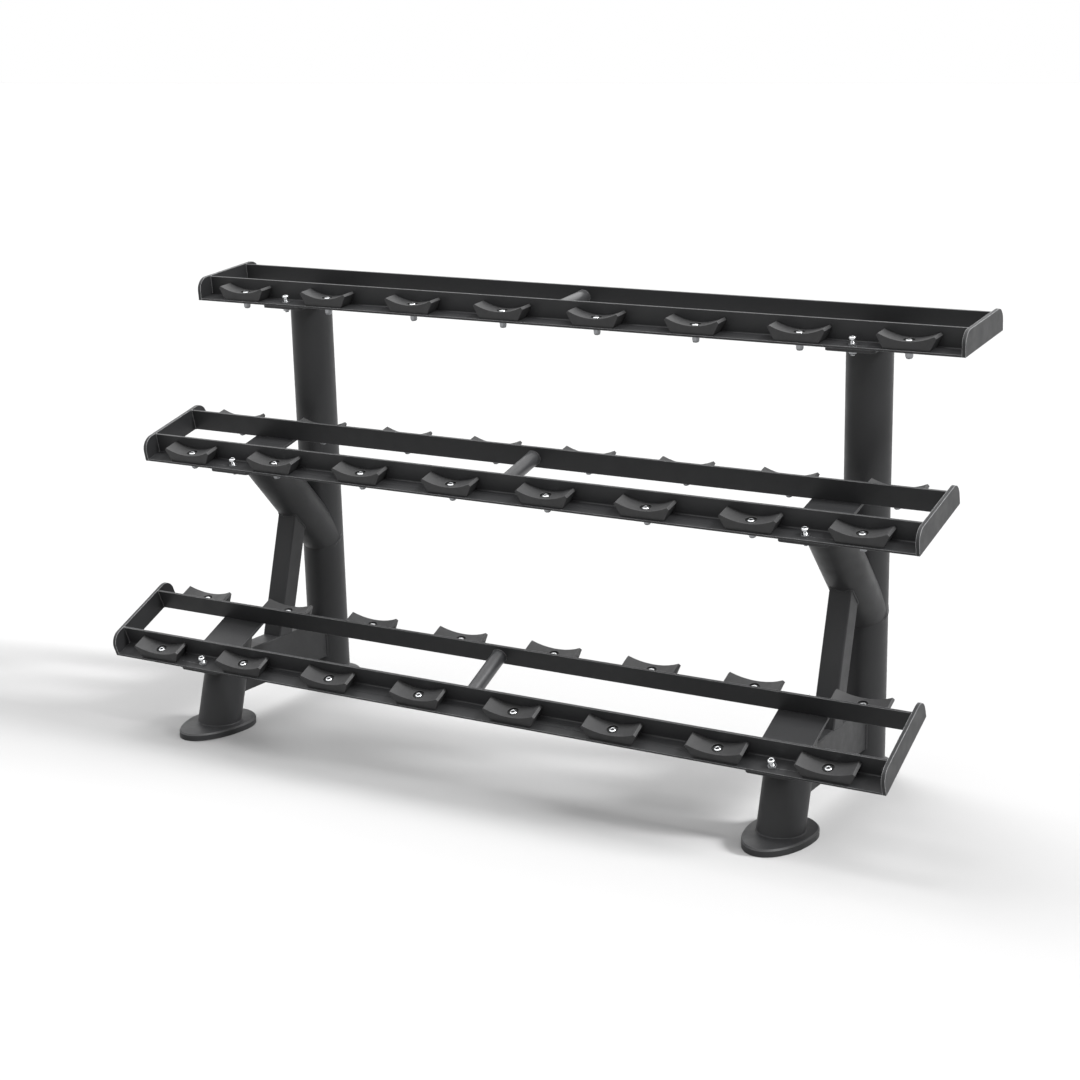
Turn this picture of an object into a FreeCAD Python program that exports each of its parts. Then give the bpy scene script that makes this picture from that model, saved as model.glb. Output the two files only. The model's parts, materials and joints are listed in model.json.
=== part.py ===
"""Three-tier dumbbell rack: two welded side frames that carry three tilted tiers of moulded saddles.

Row frame: +X along the rails, +Y from the front to the back, +Z up, origin on the floor under the
middle of the rack. Lengths are in millimetres and angles in degrees.

A tier has its own frame, which its pieces are drawn in: the origin is the bottom edge of the front rail,
X runs along the rail, Y is the depth up the tilt, and Z is the height square to the tier.
"""
import FreeCAD, Part

import os

import Sketcher

Vector = FreeCAD.Vector

DIMENSIONS = {
    # The three tiers: where the bottom front edge lies, and how far the tier tips towards the user.
    "lower_front": -350.5,
    "lower_base": 196.6,
    "lower_tilt": 25.0,
    "middle_front": -180.1,
    "middle_base": 763.3,
    "middle_tilt": 15.0,
    "upper_front": 99.0,
    "upper_base": 1217.8,
    "upper_tilt": 6.7,
    "tier_depth": 300.0,
    "rail_length": 2420.0,
    # Equal steel angle, 2.5 x 2.5 x 1/4 inch.
    "angle_leg": 63.5,
    "angle_thick": 6.35,
    "angle_root": 4.0,
    # Flat plates.
    "end_thick": 10.0,
    "end_high": 66.0,
    "end_corner": 38.0,
    "mount_wide": 140.0,
    "mount_thick": 8.0,
    "mount_corner": 12.0,
    # Spacer tube between the rails.
    "spacer_across": 42.4,
    "spacer_wall": 3.2,
    "spacer_height": 30.0,
    # Side frames: round tube, five inches across, on oval foot plates.
    "frame_offset": 907.5,
    "tube_across": 127.0,
    "tube_wall": 4.0,
    "post_foot": 307.45,
    "post_lean": 2.63,
    "leg_foot": -268.7,
    "leg_lean": 15.24,
    "arm_foot": 285.8,
    "arm_height": 471.0,
    "arm_lean": 45.1,
    "foot_wide": 180.0,
    "foot_thick": 20.0,
    "foot_bevel": 4.0,
    "rear_foot_long": 224.0,
    # The front foot is an egg shape: how far its nose and its heel reach from its widest line.
    "front_foot_widest": -244.5,
    "front_foot_nose": 175.0,
    "front_foot_heel": 106.0,
    # Rectangular base beam and square strut.
    "beam_wide": 63.5,
    "beam_high": 127.0,
    "beam_bottom": 88.0,
    "beam_corner": 5.0,
    "strut_foot": 35.1,
    "strut_lean": 14.56,
    # Saddles: eight to a row.
    "saddle_count": 8,
    "saddle_pitch": 302.8,
    "front_saddle_inset": 6.5,
    "rear_saddle_inset": 0.0,
    "saddle_deep": 50.5,
    "saddle_foot": 126.0,
    "saddle_span": 163.0,
    "saddle_mouth": 152.0,
    "saddle_high": 40.65,
    "saddle_tip": 35.0,
    "saddle_arc": 174.0,
    "saddle_relief": 5.0,
    "seat_across": 31.0,
    "seat_height": 17.0,
    # M12 fasteners.
    "bolt_across": 12.0,
    "bolt_hole": 13.5,
    "head_across": 21.0,
    "head_high": 6.6,
    "head_rim": 1.0,
    "socket_flats": 8.0,
    "socket_deep": 4.0,
    "washer_across": 24.0,
    "washer_thick": 2.5,
    "nut_flats": 19.0,
    "nut_high": 10.0,
    "nut_bore": 12.2,
    "cap_dome": 18.0,
    "cap_high": 22.0,
    "cap_tip": 1.0,
    "cap_bore_deep": 16.0,
    "saddle_screw_length": 40.0,
    "frame_bolt_inset": 26.5,
    "frame_bolt_seat": 21.8,
    "frame_bolt_length": 45.0,
    # Reach of the blocks that trim the tubes.
    "trim_reach": 400.0,
}

TIERS = ("lower", "middle", "upper")
SIDES = {"left": -1, "right": 1}

doc = FreeCAD.newDocument("dumbbell_rack")
dims = doc.addObject("Spreadsheet::Sheet", "dims")
subparts = []


# ---- the sheet and the placements ---------------------------------------------------------------------

def fill_sheet():
    """Write every driving dimension as a plain number with an alias."""
    for row, (name, value) in enumerate(DIMENSIONS.items(), start=1):
        dims.set(f"A{row}", name)
        dims.set(f"B{row}", str(value))
        dims.setAlias(f"B{row}", name)
    doc.recompute()


def size(expression):
    """The present value of an expression over the sheet."""
    return float(dims.evalExpression(expression))


def place(x="0", y="0", z="0", axis="1; 0; 0", angle="0"):
    """A placement as an expression: a point, and a turn about an axis through it."""
    return f"placement(vector({x}; {y}; {z}); rotation(vector({axis}); {angle}))"


def on_tier(tier, x="0", depth="0", height="0", turn="0"):
    """A placement in the frame of a tier. A turn of 180 faces the piece to the back, for the rear row."""
    tilted = place("0", f"dims.{tier}_front", f"dims.{tier}_base", angle=f"dims.{tier}_tilt")
    return tilted + " * " + place(x, depth, height, axis="0; 0; 1", angle=turn)


def finished(piece, name, placement):
    """Name a sub-part, place it, and put it on the list of files to write."""
    piece.Label = name
    piece.setExpression("Placement", placement)
    subparts.append(piece)


# ---- sketches -----------------------------------------------------------------------------------------

def origin_feature(body, role):
    """One of a body's own origin planes or axes."""
    return next(item for item in body.Origin.OriginFeatures if item.Role == role)


def new_sketch(body, name, role):
    """An empty sketch flat on one of the body's origin planes."""
    sketch = body.newObject("Sketcher::SketchObject", f"{body.Name}_{name}")
    sketch.AttachmentSupport = [(origin_feature(body, role), "")]
    sketch.MapMode = "FlatFace"
    return sketch


def bind(sketch, kind, expression, *places):
    """A driving constraint whose value is an expression over the sheet."""
    index = sketch.addConstraint(Sketcher.Constraint(kind, *places, size(expression)))
    sketch.setExpression(f"Constraints[{index}]", expression)


def draw_outline(sketch, corners):
    """A closed outline of straight edges through corners given as expressions."""
    points = [Vector(size(x), size(y), 0) for x, y in corners]
    first = sketch.GeometryCount
    for index, start in enumerate(points):
        sketch.addGeometry(Part.LineSegment(start, points[(index + 1) % len(points)]))
    for index, (x, y) in enumerate(corners):
        following = first + (index + 1) % len(corners)
        sketch.addConstraint(Sketcher.Constraint("Coincident", first + index, 2, following, 1))
        bind(sketch, "DistanceX", x, first + index, 1)
        bind(sketch, "DistanceY", y, first + index, 1)


def draw_rectangle(sketch, left, right, low, high):
    """An upright rectangle by its four limits."""
    draw_outline(sketch, [(left, low), (right, low), (right, high), (left, high)])


def draw_circle(sketch, x, y, across):
    """A circle by its centre and diameter."""
    edge = sketch.addGeometry(Part.Circle(Vector(size(x), size(y), 0), Vector(0, 0, 1), size(across) / 2))
    bind(sketch, "Diameter", across, edge)
    bind(sketch, "DistanceX", x, edge, 3)
    bind(sketch, "DistanceY", y, edge, 3)


def draw_hexagon(sketch, flats):
    """A hexagon about the origin by its width across flats."""
    turns = range(0, 360, 60)
    corner = f"{flats} / sqrt(3)"
    draw_outline(sketch, [(f"{corner} * cos({turn})", f"{corner} * sin({turn})") for turn in turns])


# ---- features -----------------------------------------------------------------------------------------

def pad(body, sketch, length, both_ways=False, backwards=False):
    """Thicken a sketch: along its plane's normal, against it, or half each way."""
    feature = body.newObject("PartDesign::Pad", f"{sketch.Name}_pad")
    feature.Profile = sketch
    feature.SideType = "Symmetric" if both_ways else "One side"
    feature.Reversed = backwards
    feature.setExpression("Length", length)
    doc.recompute()
    return feature


def pocket(body, sketch, length, both_ways=True, backwards=False):
    """Cut a sketch out of the body, and check that it removed something."""
    before = body.Tip.Shape.Volume
    feature = body.newObject("PartDesign::Pocket", f"{sketch.Name}_pocket")
    feature.Profile = sketch
    feature.SideType = "Symmetric" if both_ways else "One side"
    feature.Reversed = backwards
    feature.setExpression("Length", length)
    doc.recompute()
    if feature.Shape.Volume >= before:
        raise RuntimeError(f"{feature.Name} removes nothing")
    return feature


def turn_about_z(body, sketch):
    """Revolve a half profile drawn on the XZ plane about the body's Z axis."""
    feature = body.newObject("PartDesign::Revolution", f"{sketch.Name}_turned")
    feature.Profile = sketch
    feature.ReferenceAxis = (sketch, ["V_Axis"])
    feature.Angle = 360
    doc.recompute()
    return feature


def edge_names(shape, wanted):
    """The names of the edges whose centre and direction pass a test."""
    return [f"Edge{number}" for number, edge in enumerate(shape.Edges, start=1) if wanted(edge)]


def runs_along(edge, axis):
    """Whether an edge is straight and parallel to an axis."""
    straight = isinstance(edge.Curve, Part.Line)
    return straight and abs(abs(edge.Curve.Direction.dot(axis)) - 1) < 1e-6


def dress(body, kind, setting, value, wanted):
    """Round or bevel the edges of the body's last feature that pass a test."""
    base = body.Tip
    feature = body.newObject(f"PartDesign::{kind}", f"{base.Name}_{kind.lower()}")
    feature.Base = (base, edge_names(base.Shape, wanted))
    feature.setExpression(setting, value)
    doc.recompute()
    return feature


def repeat(body, axis, spacing, count, feature=None):
    """Repeat the whole body, or one feature of it, in a straight row along one of the body's axes."""
    pattern = body.newObject("PartDesign::LinearPattern", f"{body.Name}_row_{axis.lower()}")
    if feature is None:
        pattern.TransformMode = "Whole shape"
    else:
        pattern.TransformMode = "Features"
        pattern.Originals = [feature]
    pattern.Direction = (origin_feature(body, f"{axis}_Axis"), [""])
    pattern.Mode = "Spacing"
    pattern.setExpression("Offset", spacing)
    pattern.setExpression("Occurrences", count)
    body.Tip = pattern
    doc.recompute()
    return pattern


def new_body(name):
    """An empty body for one sub-part."""
    return doc.addObject("PartDesign::Body", f"{name}_body")


# ---- tier pieces --------------------------------------------------------------------------------------

ROW_START = "dims.saddle_pitch * (dims.saddle_count - 1) / 2"


def saddle_bolt_inset(row):
    """How far the saddle screws of a row stand in from the outer edge of their rail."""
    return f"(dims.{row}_saddle_inset + dims.saddle_deep / 2)"


def make_rail(tier, row):
    """A steel angle: flat flange forward under the saddles, upright flange behind them."""
    name = f"{tier}_{row}_rail"
    body = new_body(name)
    section = new_sketch(body, "section", "YZ_Plane")
    inside = "dims.angle_leg - dims.angle_thick"
    draw_outline(section, [
        ("0", "0"),
        ("dims.angle_leg", "0"),
        ("dims.angle_leg", "dims.angle_leg"),
        (inside, "dims.angle_leg"),
        (inside, "dims.angle_thick"),
        ("0", "dims.angle_thick"),
    ])
    pad(body, section, "dims.rail_length", both_ways=True)
    corner = Vector(0, size(inside), size("dims.angle_thick"))
    dress(body, "Fillet", "Radius", "dims.angle_root",
          lambda edge: edge.CenterOfMass.distanceToPoint(corner) < 1e-3)

    saddle_hole = new_sketch(body, "saddle_hole", "XY_Plane")
    draw_circle(saddle_hole, f"-({ROW_START})", saddle_bolt_inset(row), "dims.bolt_hole")
    cut = pocket(body, saddle_hole, "dims.angle_leg / 2")
    repeat(body, "X", "dims.saddle_pitch", "dims.saddle_count", cut)

    frame_holes = new_sketch(body, "frame_holes", "XY_Plane")
    for sign in SIDES.values():
        draw_circle(frame_holes, f"{sign} * dims.frame_offset", "dims.frame_bolt_inset", "dims.bolt_hole")
    pocket(body, frame_holes, "dims.angle_leg / 2")

    if row == "front":
        finished(body, name, on_tier(tier))
    else:
        finished(body, name, on_tier(tier, depth="dims.tier_depth", turn="180"))


def make_end_plate(tier, side):
    """A flat plate across the ends of both rails, with its two top corners rounded."""
    name = f"{tier}_{side}_end_plate"
    body = new_body(name)
    outline = new_sketch(body, "outline", "YZ_Plane")
    draw_rectangle(outline, "0", "dims.tier_depth", "0", "dims.end_high")
    pad(body, outline, "dims.end_thick", both_ways=True)
    middle = size("dims.end_high / 2")
    dress(body, "Fillet", "Radius", "dims.end_corner",
          lambda edge: runs_along(edge, Vector(1, 0, 0)) and edge.CenterOfMass.z > middle)
    finished(body, name, on_tier(tier, f"{SIDES[side]} * (dims.rail_length + dims.end_thick) / 2"))


def make_spacer_tube(tier):
    """A round tube that holds the two upright flanges apart at mid-length."""
    name = f"{tier}_spacer_tube"
    body = new_body(name)
    ring = new_sketch(body, "ring", "XZ_Plane")
    draw_circle(ring, "0", "0", "dims.spacer_across")
    draw_circle(ring, "0", "0", "dims.spacer_across - 2 * dims.spacer_wall")
    pad(body, ring, "dims.tier_depth - 2 * dims.angle_leg", backwards=True)
    finished(body, name, on_tier(tier, depth="dims.angle_leg", height="dims.spacer_height"))


def make_mounting_plate(tier, side):
    """A plate welded on top of the side frame and bolted up under both rails."""
    name = f"{tier}_{side}_mounting_plate"
    body = new_body(name)
    outline = new_sketch(body, "outline", "XY_Plane")
    draw_rectangle(outline, "-dims.mount_wide / 2", "dims.mount_wide / 2", "0", "dims.tier_depth")
    pad(body, outline, "dims.mount_thick", backwards=True)
    dress(body, "Fillet", "Radius", "dims.mount_corner",
          lambda edge: runs_along(edge, Vector(0, 0, 1)))
    holes = new_sketch(body, "holes", "XY_Plane")
    draw_circle(holes, "0", "dims.frame_bolt_inset", "dims.bolt_hole")
    draw_circle(holes, "0", "dims.tier_depth - dims.frame_bolt_inset", "dims.bolt_hole")
    pocket(body, holes, "4 * dims.mount_thick")
    finished(body, name, on_tier(tier, f"{SIDES[side]} * dims.frame_offset"))


def make_saddles(tier, row):
    """A row of moulded saddles: an upturned boat shape with a hollow top and a recess for its screw."""
    name = f"{tier}_{row}_saddles"
    body = new_body(name)
    profile = new_sketch(body, "profile", "XZ_Plane")
    draw_outline(profile, [
        ("-dims.saddle_foot / 2", "0"),
        ("dims.saddle_foot / 2", "0"),
        ("dims.saddle_span / 2", "dims.saddle_tip"),
        ("dims.saddle_mouth / 2", "dims.saddle_high"),
        ("-dims.saddle_mouth / 2", "dims.saddle_high"),
        ("-dims.saddle_span / 2", "dims.saddle_tip"),
    ])
    pad(body, profile, "dims.saddle_deep", backwards=True)

    cradle = new_sketch(body, "cradle", "XZ_Plane")
    rise = "sqrt(dims.saddle_arc ^ 2 - (dims.saddle_mouth / 2) ^ 2)"
    draw_circle(cradle, "0", f"dims.saddle_high + {rise}", "2 * dims.saddle_arc")
    pocket(body, cradle, "4 * dims.saddle_deep")

    # The lower back edge clears the rail's root radius.
    back = size("dims.saddle_deep")
    dress(body, "Chamfer", "Size", "dims.saddle_relief",
          lambda edge: runs_along(edge, Vector(1, 0, 0)) and edge.CenterOfMass.z < 1e-3
          and abs(edge.CenterOfMass.y - back) < 1e-3)

    hole = new_sketch(body, "hole", "XY_Plane")
    draw_circle(hole, "0", "dims.saddle_deep / 2", "dims.bolt_hole")
    pocket(body, hole, "4 * dims.saddle_high")
    recess = new_sketch(body, "recess", "XY_Plane")
    recess.setExpression("AttachmentOffset", place(z="dims.seat_height"))
    draw_circle(recess, "0", "dims.saddle_deep / 2", "dims.seat_across")
    pocket(body, recess, "dims.saddle_high", both_ways=False, backwards=True)
    repeat(body, "X", "dims.saddle_pitch", "dims.saddle_count")

    first = f"-({ROW_START})"
    if row == "front":
        placement = on_tier(tier, first, "dims.front_saddle_inset", "dims.angle_thick")
    else:
        depth = "dims.tier_depth - dims.rear_saddle_inset"
        placement = on_tier(tier, ROW_START, depth, "dims.angle_thick", turn="180")
    finished(body, name, placement)


# ---- fasteners ----------------------------------------------------------------------------------------

def make_button_screw(body, length):
    """A button-head screw with a hex socket. Z = 0 is the seat of the head, and the shank points down."""
    profile = new_sketch(body, "profile", "XZ_Plane")
    draw_outline(profile, [
        ("0", f"-({length})"),
        ("dims.bolt_across / 2", f"-({length})"),
        ("dims.bolt_across / 2", "0"),
        ("dims.head_across / 2", "0"),
        ("dims.head_across / 2", "dims.head_high"),
        ("0", "dims.head_high"),
    ])
    turn_about_z(body, profile)
    top = size("dims.head_high")
    dress(body, "Fillet", "Radius", "dims.head_high - dims.head_rim",
          lambda edge: isinstance(edge.Curve, Part.Circle) and abs(edge.CenterOfMass.z - top) < 1e-3)
    socket = new_sketch(body, "socket", "XY_Plane")
    socket.setExpression("AttachmentOffset", place(z="dims.head_high - dims.socket_deep"))
    draw_hexagon(socket, "dims.socket_flats")
    pocket(body, socket, "dims.head_high", both_ways=False, backwards=True)


def make_washer(body):
    """A flat washer standing on Z = 0."""
    ring = new_sketch(body, "ring", "XY_Plane")
    draw_circle(ring, "0", "0", "dims.washer_across")
    draw_circle(ring, "0", "0", "dims.bolt_hole")
    pad(body, ring, "dims.washer_thick")


def make_nut(body):
    """A hexagon nut hanging below Z = 0."""
    hexagon = new_sketch(body, "hexagon", "XY_Plane")
    draw_hexagon(hexagon, "dims.nut_flats")
    draw_circle(hexagon, "0", "0", "dims.nut_bore")
    pad(body, hexagon, "dims.nut_high", backwards=True)


def make_cap_nut(body):
    """A domed cap nut hanging below Z = 0: a hexagon, a dome under it, and a blind bore."""
    hexagon = new_sketch(body, "hexagon", "XY_Plane")
    draw_hexagon(hexagon, "dims.nut_flats")
    pad(body, hexagon, "dims.nut_high", backwards=True)
    dome = new_sketch(body, "dome", "XY_Plane")
    draw_circle(dome, "0", "0", "dims.cap_dome")
    pad(body, dome, "dims.cap_high", backwards=True)
    bottom = -size("dims.cap_high")
    dress(body, "Fillet", "Radius", "dims.cap_dome / 2 - dims.cap_tip",
          lambda edge: isinstance(edge.Curve, Part.Circle) and abs(edge.CenterOfMass.z - bottom) < 1e-3)
    bore = new_sketch(body, "bore", "XY_Plane")
    draw_circle(bore, "0", "0", "dims.nut_bore")
    pocket(body, bore, "dims.cap_bore_deep", both_ways=False)


def spread_saddle_fasteners(body, tier, kind, height):
    """One fastener at each of the tier's saddles, in the front row and the rear row."""
    row_gap = f"dims.tier_depth - {saddle_bolt_inset('front')} - {saddle_bolt_inset('rear')}"
    repeat(body, "Y", row_gap, "2")
    repeat(body, "X", "dims.saddle_pitch", "dims.saddle_count")
    placement = on_tier(tier, f"-({ROW_START})", saddle_bolt_inset("front"), height)
    finished(body, f"{tier}_{kind}", placement)


def spread_frame_fasteners(body, tier, kind, height):
    """One fastener at each corner where a rail crosses a side frame."""
    repeat(body, "Y", "dims.tier_depth - 2 * dims.frame_bolt_inset", "2")
    repeat(body, "X", "2 * dims.frame_offset", "2")
    finished(body, f"{tier}_{kind}", on_tier(tier, "-dims.frame_offset", "dims.frame_bolt_inset", height))


def make_fasteners(tier):
    """The screws, washers and nuts of one tier."""
    body = new_body(f"{tier}_saddle_screws")
    make_button_screw(body, "dims.saddle_screw_length")
    spread_saddle_fasteners(body, tier, "saddle_screws", "dims.angle_thick + dims.seat_height")

    body = new_body(f"{tier}_saddle_washers")
    make_washer(body)
    spread_saddle_fasteners(body, tier, "saddle_washers", "-dims.washer_thick")

    body = new_body(f"{tier}_cap_nuts")
    make_cap_nut(body)
    spread_saddle_fasteners(body, tier, "cap_nuts", "-dims.washer_thick")

    body = new_body(f"{tier}_frame_bolts")
    make_button_screw(body, "dims.frame_bolt_length")
    spread_frame_fasteners(body, tier, "frame_bolts", "dims.frame_bolt_seat")

    body = new_body(f"{tier}_frame_washers")
    make_washer(body)
    spread_frame_fasteners(body, tier, "frame_washers", "dims.angle_thick")

    body = new_body(f"{tier}_frame_nuts")
    make_nut(body)
    spread_frame_fasteners(body, tier, "frame_nuts", "-dims.mount_thick")


# ---- side frames --------------------------------------------------------------------------------------

def make_rod(name, across, length, placement):
    """A solid round bar that starts at its placement and runs along its own Z axis."""
    rod = doc.addObject("Part::Cylinder", name)
    rod.setExpression("Radius", f"({across}) / 2")
    rod.setExpression("Height", length)
    rod.setExpression("Placement", placement)
    return rod


def make_block(name, wide, deep, high, placement):
    """A rectangular block centred on X and Y, standing on its placement."""
    block = doc.addObject("Part::Box", name)
    block.setExpression("Length", wide)
    block.setExpression("Width", deep)
    block.setExpression("Height", high)
    block.setExpression("Placement", f"{placement} * {place(f'-({wide}) / 2', f'-({deep}) / 2')}")
    return block


def cut_away(stock, tools):
    """Take each tool out of the stock in turn."""
    for number, tool in enumerate(tools, start=1):
        result = doc.addObject("Part::Cut", f"{stock.Name}_less_{number}")
        result.Base = stock
        result.Tool = tool
        stock = result
    return stock


def block_above(name, tier):
    """Everything above the underside of a tier's mounting plates."""
    reach = "2 * dims.trim_reach"
    placement = on_tier(tier, depth="dims.tier_depth / 2", height="-dims.mount_thick")
    return make_block(name, reach, reach, reach, placement)


def block_below(name, height):
    """Everything below a height."""
    reach = "4 * dims.trim_reach"
    return make_block(name, reach, reach, f"dims.trim_reach + {height}", place(z="-dims.trim_reach"))


POST_LINE = place(y="dims.post_foot", angle="dims.post_lean")
LEG_LINE = place(y="dims.leg_foot", angle="-dims.leg_lean")
ARM_LINE = place(y="dims.arm_foot", z="dims.arm_height", angle="dims.arm_lean")
STRUT_LINE = place(y="dims.strut_foot", z="dims.beam_bottom + dims.beam_high", angle="-dims.strut_lean")
TUBE_BORE = "dims.tube_across - 2 * dims.tube_wall"


def make_round_member(side, kind, line, length, trims):
    """A round tube of a side frame, hollow, with its ends trimmed to what it is welded to."""
    name = f"{side}_{kind}"
    outside = make_rod(f"{name}_outside", "dims.tube_across", length, line)
    bore = make_rod(f"{name}_bore", TUBE_BORE, length, line)
    tube = cut_away(outside, [bore] + trims)
    finished(tube, name, place(f"{SIDES[side]} * dims.frame_offset"))


def make_boxed_stock(name, deep, length, line):
    """A rectangular tube along a line, open at both ends, with its long edges rounded."""
    body = new_body(name)
    outline = new_sketch(body, "outline", "XY_Plane")
    half_wide = "dims.beam_wide / 2"
    half_deep = f"({deep}) / 2"
    draw_rectangle(outline, f"-{half_wide}", half_wide, f"-{half_deep}", half_deep)
    pad(body, outline, length)
    dress(body, "Fillet", "Radius", "dims.beam_corner", lambda edge: runs_along(edge, Vector(0, 0, 1)))
    hollow = new_sketch(body, "hollow", "XY_Plane")
    inner_wide = f"({half_wide} - dims.tube_wall)"
    inner_deep = f"({half_deep} - dims.tube_wall)"
    draw_rectangle(hollow, f"-{inner_wide}", inner_wide, f"-{inner_deep}", inner_deep)
    pocket(body, hollow, f"3 * ({length})")
    body.setExpression("Placement", line)
    return body


def make_side_frame(side):
    """Post, leg, beam, strut and arm of one side, drawn at X = 0 and moved out to their side."""
    tall = "dims.upper_base + dims.tier_depth"
    floor = block_below(f"{side}_floor_trim", "dims.foot_thick")
    post_rod = make_rod(f"{side}_post_trim", "dims.tube_across", tall, POST_LINE)
    leg_rod = make_rod(f"{side}_leg_trim", "dims.tube_across", "dims.trim_reach", LEG_LINE)
    arm_rod = make_rod(f"{side}_arm_trim", "dims.tube_across", "2 * dims.trim_reach", ARM_LINE)

    make_round_member(side, "post", POST_LINE, tall, [floor, block_above(f"{side}_post_top", "upper")])
    make_round_member(side, "front_leg", LEG_LINE, "dims.trim_reach",
                      [floor, block_above(f"{side}_leg_top", "lower")])
    make_round_member(side, "arm", ARM_LINE, "2 * dims.trim_reach",
                      [post_rod, block_above(f"{side}_arm_top", "middle")])

    beam_middle = "(dims.beam_bottom + dims.beam_high / 2)"
    beam_start = f"(dims.leg_foot + {beam_middle} * tan(dims.leg_lean))"
    beam_line = place(y=beam_start, z=beam_middle, angle="-90")
    beam_length = f"dims.post_foot - {beam_start}"
    beam = make_boxed_stock(f"{side}_beam_stock", "dims.beam_high", beam_length, beam_line)
    beam = cut_away(beam, [leg_rod, post_rod])
    finished(beam, f"{side}_base_beam", place(f"{SIDES[side]} * dims.frame_offset"))

    strut_start = STRUT_LINE + " * " + place(z="-dims.beam_wide / 2")
    strut_length = "dims.trim_reach + dims.beam_wide"
    strut = make_boxed_stock(f"{side}_strut_stock", "dims.beam_wide", strut_length, strut_start)
    beam_top = block_below(f"{side}_beam_top", "dims.beam_bottom + dims.beam_high")
    strut = cut_away(strut, [beam_top, arm_rod])
    finished(strut, f"{side}_strut", place(f"{SIDES[side]} * dims.frame_offset"))


def draw_oval(sketch, wide, long):
    """An ellipse about the origin, with its long axis along the sketch's Y."""
    half_long = size(f"({long}) / 2")
    half_wide = size(f"({wide}) / 2")
    oval = Part.Ellipse(Vector(0, half_long, 0), Vector(half_wide, 0, 0), Vector(0, 0, 0))
    edge = sketch.addGeometry(oval)
    sketch.exposeInternalGeometry(edge)
    sketch.addConstraint(Sketcher.Constraint("Coincident", edge, 3, -1, 1))
    sketch.addConstraint(Sketcher.Constraint("Vertical", edge + 1))
    bind(sketch, "Distance", long, edge + 1)
    bind(sketch, "Distance", wide, edge + 2)


def bevel_foot(body):
    """Bevel the top edge of a foot plate."""
    top = size("dims.foot_thick")
    dress(body, "Chamfer", "Size", "dims.foot_bevel", lambda rim: abs(rim.CenterOfMass.z - top) < 1e-3)


def make_front_foot(side):
    """An egg-shaped plate under the front leg: a long nose ahead of its widest line, a short heel behind."""
    name = f"{side}_front_foot"
    body = new_body(name)
    nose = new_sketch(body, "nose", "XY_Plane")
    draw_oval(nose, "dims.foot_wide", "2 * dims.front_foot_nose")
    pad(body, nose, "dims.foot_thick")
    behind = new_sketch(body, "behind", "XY_Plane")
    draw_rectangle(behind, "-dims.foot_wide", "dims.foot_wide", "0", "2 * dims.front_foot_nose")
    pocket(body, behind, "4 * dims.foot_thick")
    heel = new_sketch(body, "heel", "XY_Plane")
    draw_oval(heel, "dims.foot_wide", "2 * dims.front_foot_heel")
    pad(body, heel, "dims.foot_thick")
    bevel_foot(body)
    finished(body, name, place(f"{SIDES[side]} * dims.frame_offset", "dims.front_foot_widest"))


def make_rear_foot(side):
    """An oval foot plate centred under the post."""
    name = f"{side}_rear_foot"
    body = new_body(name)
    outline = new_sketch(body, "outline", "XY_Plane")
    draw_oval(outline, "dims.foot_wide", "dims.rear_foot_long")
    pad(body, outline, "dims.foot_thick")
    bevel_foot(body)
    finished(body, name, place(f"{SIDES[side]} * dims.frame_offset", "dims.post_foot"))


# ---- the whole rack -----------------------------------------------------------------------------------

def build():
    """Make every sub-part."""
    fill_sheet()
    for side in SIDES:
        make_front_foot(side)
        make_rear_foot(side)
        make_side_frame(side)
    for tier in TIERS:
        for side in SIDES:
            make_mounting_plate(tier, side)
            make_end_plate(tier, side)
        for row in ("front", "rear"):
            make_rail(tier, row)
            make_saddles(tier, row)
        make_spacer_tube(tier)
        make_fasteners(tier)
    doc.recompute()


def check():
    """Stop if any object failed, or if a sub-part has no valid solid."""
    for item in doc.Objects:
        if "Invalid" in item.State or "Error" in item.State:
            raise RuntimeError(f"{item.Name} failed: {item.State}")
    for piece in subparts:
        if piece.Shape.isNull() or not piece.Shape.isValid() or not piece.Shape.Solids:
            raise RuntimeError(f"{piece.Label} has no valid shape")


def write():
    """Write one STEP file per sub-part."""
    os.makedirs("parts", exist_ok=True)
    for piece in subparts:
        piece.Shape.exportStep(f"parts/{piece.Label}.step")


build()
check()
write()
print(f"{len(subparts)} sub-parts written")
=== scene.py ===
"""Looks for the three-tier dumbbell rack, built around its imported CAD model. Lengths are in metres."""
import json
import math

import bmesh
import bpy
from mathutils import Matrix, Vector
from mathutils.bvhtree import BVHTree


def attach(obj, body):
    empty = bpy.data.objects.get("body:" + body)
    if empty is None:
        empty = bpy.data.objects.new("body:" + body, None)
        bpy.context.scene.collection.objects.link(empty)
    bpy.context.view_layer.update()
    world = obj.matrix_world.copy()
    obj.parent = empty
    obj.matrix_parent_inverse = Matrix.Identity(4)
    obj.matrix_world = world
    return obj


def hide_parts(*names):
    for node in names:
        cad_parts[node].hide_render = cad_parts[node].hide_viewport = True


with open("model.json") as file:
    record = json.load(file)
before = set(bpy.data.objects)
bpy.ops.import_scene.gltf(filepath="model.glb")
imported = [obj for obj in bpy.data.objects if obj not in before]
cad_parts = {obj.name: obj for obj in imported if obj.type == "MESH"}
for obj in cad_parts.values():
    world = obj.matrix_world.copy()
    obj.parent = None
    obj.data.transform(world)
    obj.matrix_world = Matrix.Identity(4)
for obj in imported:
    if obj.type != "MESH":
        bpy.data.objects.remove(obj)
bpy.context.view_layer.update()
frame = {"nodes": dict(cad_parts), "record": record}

nodes = frame["nodes"]
MM = 0.001
TIERS = ("lower", "middle", "upper")
ROWS = ("front", "rear")
SIDES = ("left", "right")
WHITE = (1, 1, 1, 1)


# ---- camera, floor and light --------------------------------------------------------------------------

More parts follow.
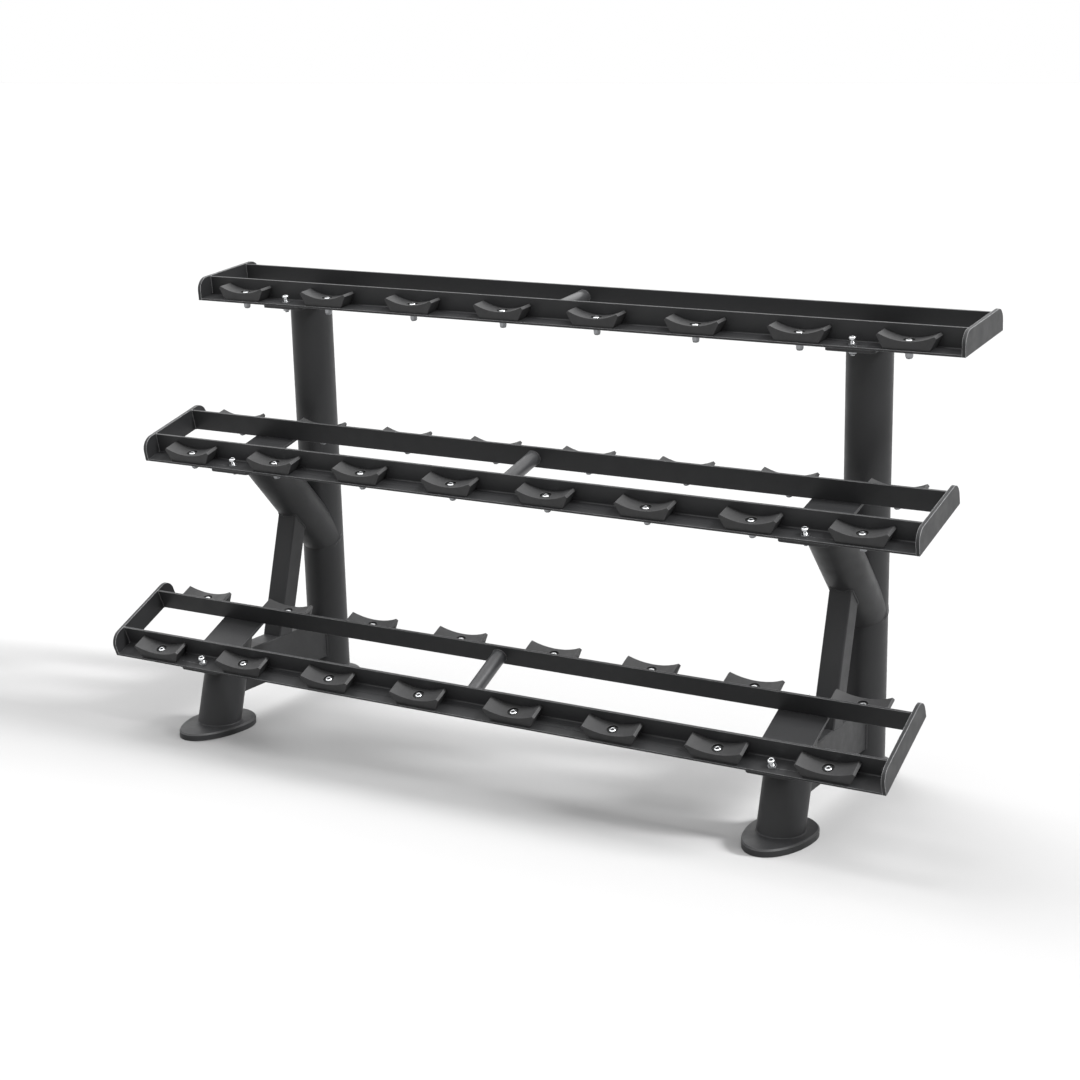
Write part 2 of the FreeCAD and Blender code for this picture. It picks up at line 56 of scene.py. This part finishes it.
CAMERA_PLACE = (2.8824, -4.9719, 1.9922)
CAMERA_DOWN = 13.3906
CAMERA_TURN = 29.718
SENSOR = 36.0
LENS = 69.82
FARTHEST = 100.0
FLOOR_SIZE = 200.0
FLOOR_TONE = 0.206


def make_camera():
    """The viewing angle: from the front right, a little above the top tier."""
    data = bpy.data.cameras.new("camera")
    data.sensor_width = SENSOR
    data.lens = LENS
    data.clip_end = FARTHEST
    camera = bpy.data.objects.new("camera", data)
    camera.location = CAMERA_PLACE
    camera.rotation_euler = (math.radians(90 - CAMERA_DOWN), 0, math.radians(CAMERA_TURN))
    bpy.context.scene.collection.objects.link(camera)
    bpy.context.scene.camera = camera


def make_sun(name, azimuth, elevation, spread, power, floor, floor_state):
    """A distant soft light on the floor alone, or on all but the floor.

    Azimuth is from +X towards +Y, and spread is the light's apparent width.
    """
    data = bpy.data.lights.new(name, "SUN")
    data.angle = math.radians(spread)
    data.energy = power
    light = bpy.data.objects.new(name, data)
    light.rotation_euler = (math.radians(90 - elevation), 0, math.radians(azimuth + 90))
    bpy.context.scene.collection.objects.link(light)
    receivers = bpy.data.collections.new(name + "_receivers")
    receivers.objects.link(floor)
    receivers.collection_objects[0].light_linking.link_state = floor_state
    light.light_linking.receiver_collection = receivers


def make_floor():
    """A pale matt floor."""
    bpy.ops.mesh.primitive_plane_add(size=FLOOR_SIZE, location=(0, 0, 0))
    floor = bpy.context.object
    floor.name = "floor"
    material = bpy.data.materials.new("floor_white")
    material.use_nodes = True
    shader = material.node_tree.nodes["Principled BSDF"]
    shader.inputs["Base Color"].default_value = (FLOOR_TONE, FLOOR_TONE, FLOOR_TONE, 1)
    shader.inputs["Roughness"].default_value = 0.9
    shader.inputs["Specular IOR Level"].default_value = 0.0
    floor.data.materials.append(material)
    return floor


SURROUND = (
    # Direction, where along it the glow starts and ends, and how strong it is.
    ((0, 0, 1), 0.15, 0.90, 2.50),
    ((1, 0, 0), 0.30, 0.95, 0.05),
    ((-1, 0, 0), 0.40, 0.95, 0.45),
    ((0, 1, 0), 0.20, 0.90, 0.33),
)
SURROUND_BASE = 0.36


def surround_strength(tree):
    """How bright the surround is in each direction."""
    direction = tree.nodes.new("ShaderNodeTexCoord").outputs["Generated"]
    base = tree.nodes.new("ShaderNodeValue")
    base.outputs["Value"].default_value = SURROUND_BASE
    total = base.outputs["Value"]
    for axis, start, end, strength in SURROUND:
        along = tree.nodes.new("ShaderNodeVectorMath")
        along.operation = "DOT_PRODUCT"
        along.inputs[1].default_value = axis
        tree.links.new(direction, along.inputs[0])
        glow = tree.nodes.new("ShaderNodeMapRange")
        glow.interpolation_type = "SMOOTHSTEP"
        glow.inputs["From Min"].default_value = start
        glow.inputs["From Max"].default_value = end
        glow.inputs["To Max"].default_value = strength
        tree.links.new(along.outputs["Value"], glow.inputs["Value"])
        added = tree.nodes.new("ShaderNodeMath")
        tree.links.new(total, added.inputs[0])
        tree.links.new(glow.outputs["Result"], added.inputs[1])
        total = added.outputs["Value"]
    return total


def make_surround():
    """A studio that is bright overhead and fainter at the sides and behind, with a plain white backdrop."""
    world = bpy.data.worlds.new("surround")
    world.use_nodes = True
    tree = world.node_tree
    studio = tree.nodes["Background"]
    studio.inputs["Color"].default_value = WHITE
    tree.links.new(surround_strength(tree), studio.inputs["Strength"])
    backdrop = tree.nodes.new("ShaderNodeBackground")
    backdrop.inputs["Color"].default_value = WHITE
    chosen = tree.nodes.new("ShaderNodeMixShader")
    tree.links.new(tree.nodes.new("ShaderNodeLightPath").outputs["Is Camera Ray"], chosen.inputs["Fac"])
    tree.links.new(studio.outputs["Background"], chosen.inputs[1])
    tree.links.new(backdrop.outputs["Background"], chosen.inputs[2])
    tree.links.new(chosen.outputs["Shader"], tree.nodes["World Output"].inputs["Surface"])
    bpy.context.scene.world = world


LIGHTS = (
    # Name, azimuth, elevation, spread, power, and whether it lights the floor alone or all but the floor.
    ("right_light", 15, 20, 14, 16.0, "INCLUDE"),
    ("left_light", 150, 50, 34, 4.9, "INCLUDE"),
    ("rack_light", -2, 50, 12, 3.6, "EXCLUDE"),
)


def make_stage():
    """The floor, the surround, two lights that throw the rack's shadows on the floor, one on the rack."""
    floor = make_floor()
    make_surround()
    for name, azimuth, elevation, spread, power, floor_state in LIGHTS:
        make_sun(name, azimuth, elevation, spread, power, floor, floor_state)


# ---- materials ----------------------------------------------------------------------------------------

# Noise is spread from this middle band of its range to the full one.
NOISE_LOW = 0.3
NOISE_HIGH = 0.7
# How far a rounded normal agrees with the true one, from where an edge begins to where it is fully an edge.
EDGE_STARTS = 0.995
EDGE_FULL = 0.8
# How open a place is for the painted recess shade, from where it counts as deep in a gap to where it counts
# as free of it.
GAP_DEEP = 0.35
GAP_OPEN = 0.85
NODE_SAMPLES = 6


class Nodes:
    """A short way to write a material's nodes. Noise scales are in bumps per metre."""

    def __init__(self, name):
        self.material = bpy.data.materials.new(name)
        self.material.use_nodes = True
        self.tree = self.material.node_tree
        self.shader = self.tree.nodes["Principled BSDF"]
        self.place = self.add("ShaderNodeTexCoord").outputs["Object"]

    def add(self, kind, **settings):
        """A new node with some of its settings changed."""
        node = self.tree.nodes.new(kind)
        for key, value in settings.items():
            setattr(node, key, value)
        return node

    def link(self, output, socket):
        self.tree.links.new(output, socket)

    def noise(self, scale, detail, roughness=0.5):
        """Noise over the piece, mostly near the middle of its range."""
        node = self.add("ShaderNodeTexNoise")
        self.link(self.place, node.inputs["Vector"])
        node.inputs["Scale"].default_value = scale
        node.inputs["Detail"].default_value = detail
        node.inputs["Roughness"].default_value = roughness
        return node.outputs["Fac"]

    def spread(self, value, low, high, to_low=0.0, to_high=1.0):
        """A value stretched from one range to another and held inside it."""
        node = self.add("ShaderNodeMapRange")
        self.link(value, node.inputs["Value"])
        node.inputs["From Min"].default_value = low
        node.inputs["From Max"].default_value = high
        node.inputs["To Min"].default_value = to_low
        node.inputs["To Max"].default_value = to_high
        return node.outputs["Result"]

    def patches(self, scale, detail, roughness=0.5, least=0.0, most=1.0):
        """Noise with full contrast, between two numbers."""
        return self.spread(self.noise(scale, detail, roughness), NOISE_LOW, NOISE_HIGH, least, most)

    def mix(self, factor, first, second):
        """A blend of two colours, each a tuple or a node's output."""
        node = self.add("ShaderNodeMix", data_type="RGBA")
        self.link(factor, node.inputs["Factor"])
        for socket, colour in ((node.inputs["A"], first), (node.inputs["B"], second)):
            if isinstance(colour, tuple):
                socket.default_value = (*colour, 1)
            else:
                self.link(colour, socket)
        return node.outputs["Result"]

    def math(self, operation, first, second):
        node = self.add("ShaderNodeMath", operation=operation)
        for socket, value in zip(node.inputs, (first, second)):
            if isinstance(value, (int, float)):
                socket.default_value = value
            else:
                self.link(value, socket)
        return node.outputs["Value"]

    def edges(self, radius):
        """1 on sharp edges and 0 on flat faces, from how far a rounded normal leans from the true one."""
        rounded = self.add("ShaderNodeBevel", samples=NODE_SAMPLES)
        rounded.inputs["Radius"].default_value = radius
        plain = self.add("ShaderNodeNewGeometry")
        dot = self.add("ShaderNodeVectorMath", operation="DOT_PRODUCT")
        self.link(rounded.outputs["Normal"], dot.inputs[0])
        self.link(plain.outputs["Normal"], dot.inputs[1])
        return self.spread(dot.outputs["Value"], EDGE_STARTS, EDGE_FULL)

    def painted_recess_shade(self, reach):
        """Painted shade: 0 deep in recesses and along gaps, where shade falls, and 1 in the open."""
        open_share = self.add("ShaderNodeAmbientOcclusion", samples=NODE_SAMPLES)
        open_share.inputs["Distance"].default_value = reach
        return self.spread(open_share.outputs["AO"], GAP_DEEP, GAP_OPEN)

    def bump(self, height, strength, distance, after=None):
        """A normal roughened by a height, on top of an earlier one if given."""
        node = self.add("ShaderNodeBump")
        node.inputs["Strength"].default_value = strength
        node.inputs["Distance"].default_value = distance
        self.link(height, node.inputs["Height"])
        if after is not None:
            self.link(after, node.inputs["Normal"])
        return node.outputs["Normal"]


def shade(colour, factor):
    """A colour made lighter or darker."""
    return tuple(channel * factor for channel in colour)


def make_powder_coat(name, colour, edge_colour_rubbed_and_highlit, edge_reach, roughness, specular):
    """Satin powder coat: orange peel, faint speckle, and lighter on the edges, partly as wear and partly as
    a painted edge highlight.
    """
    m = Nodes(name)
    speckle = m.spread(m.noise(1800, 2), 0.35, 0.65)
    base = m.mix(m.patches(5, 3), shade(colour, 0.85), colour)
    base = m.mix(m.math("MULTIPLY", speckle, 0.5), base, shade(colour, 1.35))
    # Lighter edges: partly wear, partly a painted highlight along the edges.
    rub_and_highlight_mask = m.math("MULTIPLY", m.edges(edge_reach), m.patches(60, 4, least=0.55))
    base = m.mix(rub_and_highlight_mask, base, edge_colour_rubbed_and_highlit)
    m.link(base, m.shader.inputs["Base Color"])
    m.link(m.patches(24, 5, 0.6, roughness - 0.06, roughness + 0.06), m.shader.inputs["Roughness"])
    m.shader.inputs["Specular IOR Level"].default_value = specular
    peel = m.bump(m.noise(520, 2, 0.4), 0.18, 0.25 * MM)
    m.link(m.bump(m.noise(2400, 1), 0.10, 0.08 * MM, peel), m.shader.inputs["Normal"])
    return m.material


def make_moulding(name, colour):
    """Moulded polyurethane: dull and finely grained, with a painted highlight on its edges that partly
    stands for rubbing, and painted shade in its recesses and gaps.
    """
    m = Nodes(name)
    base = m.mix(m.patches(9, 4), shade(colour, 0.82), shade(colour, 1.12))
    # Edges six times lighter: a painted highlight on the tips and rims, partly also standing for rubbing.
    base = m.mix(m.math("MULTIPLY", m.edges(2.2 * MM), 0.6), base, shade(colour, 6))
    # Painted shade: recesses and gaps darkened nearly to black.
    base = m.mix(m.painted_recess_shade(16 * MM), shade(colour, 0.05), base)
    m.link(base, m.shader.inputs["Base Color"])
    m.link(m.patches(45, 5, 0.65, 0.50, 0.66), m.shader.inputs["Roughness"])
    m.link(m.bump(m.noise(1500, 3, 0.6), 0.25, 0.15 * MM), m.shader.inputs["Normal"])
    return m.material


def make_zinc(name, colour, roughness):
    """Zinc plate: metallic, with faint blotches and an uneven, finely pitted surface."""
    m = Nodes(name)
    m.link(m.mix(m.patches(130, 4), shade(colour, 0.86), colour), m.shader.inputs["Base Color"])
    m.shader.inputs["Metallic"].default_value = 1.0
    m.link(m.patches(400, 4, 0.7, roughness - 0.06, roughness + 0.08), m.shader.inputs["Roughness"])
    m.link(m.bump(m.noise(2600, 2), 0.12, 0.05 * MM), m.shader.inputs["Normal"])
    return m.material


# ---- CAD nodes that stay ------------------------------------------------------------------------------

JOIN = 0.01 * MM
SHARP = math.radians(40)
ROUNDED = math.radians(35)
BEVEL_SEGMENTS = 2


def shade_smooth(piece):
    """Smooth shading that keeps flat faces flat, by weighting each corner's normal by face area."""
    for polygon in piece.data.polygons:
        polygon.use_smooth = True
    piece.data.set_sharp_from_angle(angle=SHARP)
    even = piece.modifiers.new("even_normals", "WEIGHTED_NORMAL")
    even.keep_sharp = True


def dress(node, material, bevel):
    """Give a CAD node its material, merged corners, rounded edges and smooth curved faces."""
    piece = nodes[node]
    piece.data.materials.clear()
    piece.data.materials.append(material)
    weld = piece.modifiers.new("weld", "WELD")
    weld.merge_threshold = JOIN
    rounding = piece.modifiers.new("bevel", "BEVEL")
    rounding.width = bevel
    rounding.segments = BEVEL_SEGMENTS
    rounding.limit_method = "ANGLE"
    rounding.angle_limit = ROUNDED
    shade_smooth(piece)


def add_piece(name, mesh, materials, replaced=()):
    """Turn a bmesh in the row frame into a piece that rides on the rack."""
    data = bpy.data.meshes.new(name)
    bmesh.ops.recalc_face_normals(mesh, faces=mesh.faces)
    mesh.to_mesh(data)
    mesh.free()
    for material in materials:
        data.materials.append(material)
    piece = bpy.data.objects.new(name, data)
    bpy.context.scene.collection.objects.link(piece)
    shade_smooth(piece)
    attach(piece, "root")
    if replaced:
        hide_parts(*replaced)


# ---- where things are, read from the frame ------------------------------------------------------------

def merged(node):
    """A CAD node's mesh with its split corners joined."""
    mesh = bmesh.new()
    mesh.from_mesh(nodes[node].data)
    bmesh.ops.remove_doubles(mesh, verts=mesh.verts, dist=JOIN)
    return mesh


def solids(mesh):
    """The points of each separate solid of a mesh."""
    found = []
    left = set(mesh.verts)
    while left:
        group = [left.pop()]
        for vertex in group:
            for edge in vertex.link_edges:
                neighbour = edge.other_vert(vertex)
                if neighbour in left:
                    left.remove(neighbour)
                    group.append(neighbour)
        found.append([vertex.co.copy() for vertex in group])
    return found


def tier_turn(tier):
    """The tilt of a tier, from the broad face of one of its mounting plates."""
    broad = max(nodes[f"{tier}_left_mounting_plate"].data.polygons, key=lambda face: face.area)
    normal = broad.normal if broad.normal.z > 0 else -broad.normal
    return Matrix.Rotation(math.atan2(-normal.y, normal.z), 4, "X")


def fastener_places(tier, kind):
    """For each fastener of a node: a frame at the middle of its top, square to the tier, and its height."""
    turn = tier_turn(tier)
    mesh = merged(f"{tier}_{kind}")
    places = []
    for points in solids(mesh):
        local = [turn.inverted() @ point for point in points]
        low = Vector(min(point[axis] for point in local) for axis in range(3))
        high = Vector(max(point[axis] for point in local) for axis in range(3))
        middle = Vector(((low.x + high.x) / 2, (low.y + high.y) / 2, high.z))
        places.append((turn @ Matrix.Translation(middle), high.z - low.z))
    mesh.free()
    return sorted(places, key=lambda item: tuple(round(number, 4) for number in item[0].translation))


# ---- fasteners ----------------------------------------------------------------------------------------

SCREW = 12.0 * MM
SCREW_POINT = 9.72 * MM
THREAD_PITCH = 1.75 * MM
THREAD_DEPTH = 0.95 * MM
THREAD_STEPS = 6
SCREW_SIDES = 36
HEAD = 21.0 * MM
HEAD_HIGH = 6.6 * MM
HEAD_RIM = 2.0 * MM
HEAD_FLAT = 13.5 * MM
HEAD_BREAK = 0.3 * MM
HEAD_STEPS = 8
SOCKET = 8.0 * MM
SOCKET_DEEP = 4.6 * MM
SOCKET_LEAD = 0.5 * MM
PLAIN_SHANK = 3.0 * MM
NUT = 19.0 * MM
NUT_HIGH = 10.0 * MM
NUT_BORE = 12.2 * MM
NUT_FACE = 18.0 * MM
NUT_LEAD = 0.6 * MM
NUT_SIDES = 48
CHAMFER_STEPS = 4
CAP_NECK = 16.6 * MM
CAP_DOME = 18.0 * MM
CAP_HEX = 14.5 * MM
CAP_HIGH = 19.5 * MM
CAP_BORE_DEEP = 16.0 * MM
CAP_TIP = 0.8 * MM
CAP_STEPS = 12
SIXTH = math.pi / 3


def round_ring(across, height):
    """A level ring of a turned shape."""
    return lambda angle: (across / 2, height)


def hex_ring(flats, height, largest=math.inf):
    """A level hexagonal ring whose corners are turned down to a largest diameter."""
    return lambda angle: (min(flats / 2 / math.cos(angle % SIXTH - SIXTH / 2), largest / 2), height)


def thread_ring(height, bottom, top):
    """A level cut through a helical thread that fades out at both ends."""
    fade = max(0.0, min(1.0, (height - bottom) / THREAD_PITCH, (top - height) / THREAD_PITCH))

    def ring(angle):
        phase = (height / THREAD_PITCH - angle / (2 * math.pi)) % 1
        return SCREW / 2 - THREAD_DEPTH * fade * abs(2 * phase - 1), height

    return ring


def turn_shape(mesh, rings, count, place, inside=(), capped=True):
    """Join rings into one closed skin, moved into place. Bands listed as inside get the second material."""
    rows = []
    for ring in rings:
        row = []
        for step in range(count):
            angle = 2 * math.pi * step / count
            radius, height = ring(angle)
            point = Vector((radius * math.cos(angle), radius * math.sin(angle), height))
            row.append(mesh.verts.new(place @ point))
        rows.append(row)
    following = rows[1:] if capped else rows[1:] + rows[:1]
    for band, (low, high) in enumerate(zip(rows, following)):
        for step in range(count):
            after = (step + 1) % count
            face = mesh.faces.new((low[step], low[after], high[after], high[step]))
            face.material_index = 1 if band in inside else 0
    if capped:
        mesh.faces.new(rows[0])
        mesh.faces.new(rows[-1]).material_index = 1 if inside else 0


def screw_rings(length):
    """A button-head screw from its tip to the bottom of its hex socket. Z = 0 is the top of the head."""
    tip = -length
    bottom = tip + THREAD_DEPTH / 2
    top = -HEAD_HIGH - PLAIN_SHANK
    rings = [round_ring(SCREW_POINT, tip), round_ring(SCREW - THREAD_DEPTH, bottom)]
    steps = math.ceil((top - tip - THREAD_DEPTH) / (THREAD_PITCH / THREAD_STEPS))
    for step in range(1, steps + 1):
        rings.append(thread_ring(bottom + (top - bottom) * step / steps, bottom, top))
    rings.append(round_ring(SCREW, -HEAD_HIGH))
    rings.append(round_ring(HEAD - 2 * HEAD_BREAK, -HEAD_HIGH))
    rings.append(round_ring(HEAD, -HEAD_HIGH + HEAD_BREAK))
    for step in range(HEAD_STEPS + 1):
        turn = math.pi / 2 * step / HEAD_STEPS
        across = HEAD_FLAT + (HEAD - HEAD_FLAT) * math.cos(turn)
        rings.append(round_ring(across, HEAD_RIM - HEAD_HIGH + (HEAD_HIGH - HEAD_RIM) * math.sin(turn)))
    rings.append(round_ring(SOCKET / math.cos(SIXTH / 2) + 2 * SOCKET_LEAD, 0))
    rings.append(hex_ring(SOCKET, -SOCKET_LEAD))
    rings.append(hex_ring(SOCKET, -SOCKET_DEEP))
    rings.append(round_ring(SOCKET / 4, -SOCKET_DEEP - SOCKET_LEAD))
    return rings


def chamfered_hex(top, bottom):
    """The outside of a hexagon nut from its top face to its bottom face, with turned-down corners."""
    slope = math.tan(SIXTH)
    widest = NUT / math.cos(SIXTH / 2)
    chamfer = (widest - NUT_FACE) / 2 / slope
    drops = [chamfer * step / CHAMFER_STEPS for step in range(CHAMFER_STEPS + 1)]
    upper = [hex_ring(NUT, top - drop, NUT_FACE + 2 * drop * slope) for drop in drops]
    lower = [hex_ring(NUT, bottom + drop, NUT_FACE + 2 * drop * slope) for drop in reversed(drops)]
    return upper + lower


def nut_rings():
    """A plain hexagon nut, up its bore and down its outside. Z = 0 is its top."""
    bore = [
        round_ring(NUT_BORE + 2 * NUT_LEAD, -NUT_HIGH),
        round_ring(NUT_BORE, NUT_LEAD - NUT_HIGH),
        round_ring(NUT_BORE, -NUT_LEAD),
        round_ring(NUT_BORE + 2 * NUT_LEAD, 0),
    ]
    return bore + chamfered_hex(0, -NUT_HIGH)


def cap_nut_rings():
    """A domed cap nut, from the end of its blind bore round to the tip of its dome. Z = 0 is its top."""
    rings = [
        round_ring(NUT_BORE / 3, -CAP_BORE_DEEP - NUT_LEAD),
        round_ring(NUT_BORE, -CAP_BORE_DEEP),
        round_ring(NUT_BORE, -NUT_LEAD),
        round_ring(NUT_BORE + 2 * NUT_LEAD, 0),
    ]
    rings += chamfered_hex(0, -CAP_HEX)
    rings.append(round_ring(CAP_NECK, -CAP_HEX))
    rings.append(round_ring(CAP_NECK, -CAP_HEX - NUT_LEAD))
    straight = CAP_HEX + 2 * NUT_LEAD
    dome = CAP_HIGH - straight
    for step in range(CAP_STEPS):
        turn = math.pi / 2 * step / CAP_STEPS
        rings.append(round_ring(CAP_DOME * math.sqrt(math.cos(turn)), -straight - dome * math.sin(turn)))
    rings.append(round_ring(CAP_TIP, -CAP_HIGH))
    return rings


def make_fasteners(tier):
    """Detailed screws, bolts and nuts in place of the plain ones of one tier."""
    for kind in ("saddle_screws", "frame_bolts"):
        node = f"{tier}_{kind}"
        mesh = bmesh.new()
        for place, length in fastener_places(tier, kind):
            rings = screw_rings(length)
            # The socket walls and floor take the second material, a dark zinc that paints the socket's
            # shade.
            turn_shape(mesh, rings, SCREW_SIDES, place, inside=(len(rings) - 3, len(rings) - 2))
        add_piece(f"{node}_detail", mesh, (screw_zinc, socket_shaded_zinc), [node])

    mesh = bmesh.new()
    for place, _ in fastener_places(tier, "cap_nuts"):
        turn_shape(mesh, cap_nut_rings(), NUT_SIDES, place)
    add_piece(f"{tier}_cap_nuts_detail", mesh, (nut_zinc,), [f"{tier}_cap_nuts"])

    mesh = bmesh.new()
    for place, _ in fastener_places(tier, "frame_nuts"):
        turn_shape(mesh, nut_rings(), NUT_SIDES, place, capped=False)
    add_piece(f"{tier}_frame_nuts_detail", mesh, (nut_zinc,), [f"{tier}_frame_nuts"])


# ---- weld beads ---------------------------------------------------------------------------------------

REACH = 0.6 * MM
FACING = 0.7
OUTER_SHARE = 0.97
RIPPLE = 4.8 * MM
RIPPLE_SHARE = 0.06
BEAD_STEP = 1.2 * MM
BEAD_SIDES = 8
CORNER_PASSES = 3


def touches(face, tree):
    """Whether a face lies on another piece's surface."""
    for point in [vertex.co for vertex in face.verts] + [face.calc_center_median()]:
        _, normal, _, distance = tree.find_nearest(point)
        if distance is None or distance > REACH or abs(normal.dot(face.normal)) < FACING:
            return False
    return True


def tube_outline(node, other):
    """The outline where the end of a round tube meets another node, in order round the tube."""
    mesh = merged(node)
    target = merged(other)
    tree = BVHTree.FromBMesh(target)
    every = [vertex.co.copy() for vertex in mesh.verts]
    near = [point for point in every if tree.find_nearest(point, REACH)[0] is not None]
    mesh.free()
    target.free()
    middle = sum(near, Vector()) / len(near)
    along = (sum(every, Vector()) / len(every) - middle).normalized()
    first = along.orthogonal().normalized()
    second = along.cross(first)

    def radius(point):
        return math.hypot((point - middle).dot(first), (point - middle).dot(second))

    def bearing(point):
        return math.atan2((point - middle).dot(second), (point - middle).dot(first))

    widest = max(radius(point) for point in near)
    return sorted((point for point in near if radius(point) > OUTER_SHARE * widest), key=bearing)


def outline_length(points):
    """The length of a closed outline."""
    return sum((end - start).length for start, end in zip(points, points[1:] + points[:1]))


def end_outline(node, other):
    """The longest closed outline where the end of one node lies on another node."""
    mesh = merged(node)
    target = merged(other)
    tree = BVHTree.FromBMesh(target)
    on_other = {face for face in mesh.faces if touches(face, tree)}
    edges = {edge for edge in mesh.edges if len(on_other.intersection(edge.link_faces)) == 1}
    mesh.edges.index_update()
    loops = []
    while edges:
        edge = min(edges, key=lambda item: item.index)
        edges.remove(edge)
        loop = [edge.verts[0], edge.verts[1]]
        while True:
            following = [item for item in loop[-1].link_edges if item in edges]
            if not following:
                break
            edges.remove(following[0])
            loop.append(following[0].other_vert(loop[-1]))
        if loop[0] == loop[-1]:
            loops.append([vertex.co.copy() for vertex in loop[:-1]])
    mesh.free()
    target.free()
    if not loops:
        raise RuntimeError(f"{node} has no closed outline on {other}")
    return max(loops, key=outline_length)


def even_path(points, step):
    """A closed path through the points with even steps and slightly rounded corners."""
    lengths = [(end - start).length for start, end in zip(points, points[1:] + points[:1])]
    count = round(sum(lengths) / step)
    spacing = sum(lengths) / count
    path = []
    covered = 0.0
    for start, end, length in zip(points, points[1:] + points[:1], lengths):
        while len(path) * spacing < covered + length and len(path) < count:
            path.append(start.lerp(end, (len(path) * spacing - covered) / length))
        covered += length
    for _ in range(CORNER_PASSES):
        path = [(path[i - 1] + 2 * path[i] + path[(i + 1) % count]) / 4 for i in range(count)]
    return path


def add_bead(mesh, points, radius):
    """A rippled weld bead along a closed outline."""
    path = even_path(points, BEAD_STEP)
    count = len(path)
    tangents = [(path[(i + 1) % count] - path[i - 1]).normalized() for i in range(count)]
    side = tangents[0].orthogonal().normalized()
    sides = []
    for tangent in tangents:
        side = (side - tangent * side.dot(tangent)).normalized()
        sides.append(side)
    last = (side - tangents[0] * side.dot(tangents[0])).normalized()
    twist = math.atan2(tangents[0].dot(last.cross(sides[0])), last.dot(sides[0]))
    rows = []
    for index, (point, tangent, side) in enumerate(zip(path, tangents, sides)):
        across = tangent.cross(side)
        thick = radius * (1 + RIPPLE_SHARE * math.sin(2 * math.pi * index * BEAD_STEP / RIPPLE))
        row = []
        for step in range(BEAD_SIDES):
            angle = 2 * math.pi * step / BEAD_SIDES + twist * index / count
            row.append(mesh.verts.new(point + thick * (math.cos(angle) * side + math.sin(angle) * across)))
        rows.append(row)
    for row, following in zip(rows, rows[1:] + rows[:1]):
        for step in range(BEAD_SIDES):
            after = (step + 1) % BEAD_SIDES
            mesh.faces.new((row[step], row[after], following[after], following[step]))


RAIL_BEAD = 1.8 * MM
SPACER_BEAD = 1.5 * MM
FRAME_WELDS = (
    # Which end lies on what, how its outline is found, and the bead's radius in millimetres.
    ("{side}_post", "{side}_rear_foot", tube_outline, 2.0),
    ("{side}_front_leg", "{side}_front_foot", tube_outline, 2.0),
    ("{side}_front_leg", "lower_{side}_mounting_plate", tube_outline, 2.6),
    ("{side}_arm", "middle_{side}_mounting_plate", tube_outline, 2.6),
    ("{side}_post", "upper_{side}_mounting_plate", tube_outline, 2.6),
    ("{side}_arm", "{side}_post", tube_outline, 4.0),
    ("{side}_base_beam", "{side}_front_leg", end_outline, 3.5),
    ("{side}_base_beam", "{side}_post", end_outline, 3.5),
    ("{side}_strut", "{side}_base_beam", end_outline, 3.0),
    ("{side}_strut", "{side}_arm", end_outline, 3.0),
)


def make_welds():
    """Weld beads round the joints of the side frames and the tiers."""
    for side in SIDES:
        mesh = bmesh.new()
        for end, onto, find_outline, radius in FRAME_WELDS:
            add_bead(mesh, find_outline(end.format(side=side), onto.format(side=side)), radius * MM)
        add_piece(f"{side}_frame_welds", mesh, (frame_coat,))
    for tier in TIERS:
        mesh = bmesh.new()
        for row in ROWS:
            rail = f"{tier}_{row}_rail"
            for side in SIDES:
                add_bead(mesh, end_outline(rail, f"{tier}_{side}_end_plate"), RAIL_BEAD)
            add_bead(mesh, tube_outline(f"{tier}_spacer_tube", rail), SPACER_BEAD)
        add_piece(f"{tier}_rail_welds", mesh, (rail_coat,))


make_camera()
make_stage()
bpy.context.scene.view_settings.view_transform = "Standard"

coat_black = (0.0170, 0.0172, 0.0180)
spacer_black = (0.030, 0.0303, 0.0315)
# Edge colours: partly wear, partly a painted highlight along the edges.
bright_rub_and_highlight = (0.55, 0.553, 0.56)
dull_rub_and_highlight = (0.11, 0.111, 0.114)
frame_coat = make_powder_coat("frame_powder_coat", coat_black, dull_rub_and_highlight, 1.6 * MM, 0.46, 0.26)
rail_coat = make_powder_coat("rail_powder_coat", coat_black, bright_rub_and_highlight, 2.0 * MM, 0.46, 0.26)
spacer_coat = make_powder_coat("spacer_powder_coat", spacer_black, bright_rub_and_highlight, 1.6 * MM, 0.34, 0.5)
moulding = make_moulding("saddle_polyurethane", (0.0136, 0.0136, 0.0142))
screw_zinc = make_zinc("screw_zinc_plate", (0.62, 0.63, 0.64), 0.26)
# Dark zinc for the hex sockets: painted shade inside the sockets.
socket_shaded_zinc = make_zinc("socket_painted_shade_zinc", (0.16, 0.16, 0.165), 0.45)
nut_zinc = make_zinc("nut_zinc_plate", (0.30, 0.305, 0.315), 0.38)

# The material and the edge rounding of each slot.
FINISH = {
    "frame_coating": (frame_coat, 1.2 * MM),
    "rail_coating": (rail_coat, 0.9 * MM),
    "saddle_moulding": (moulding, 1.0 * MM),
    "screw_zinc": (screw_zinc, 0.35 * MM),
    "nut_zinc": (nut_zinc, 0.35 * MM),
}
for subpart in frame["record"]["subparts"]:
    material, bevel = FINISH[subpart["material_slot"]]
    dress(subpart["node"], material, bevel)
for tier in TIERS:
    nodes[f"{tier}_spacer_tube"].data.materials[0] = spacer_coat
    make_fasteners(tier)
make_welds()
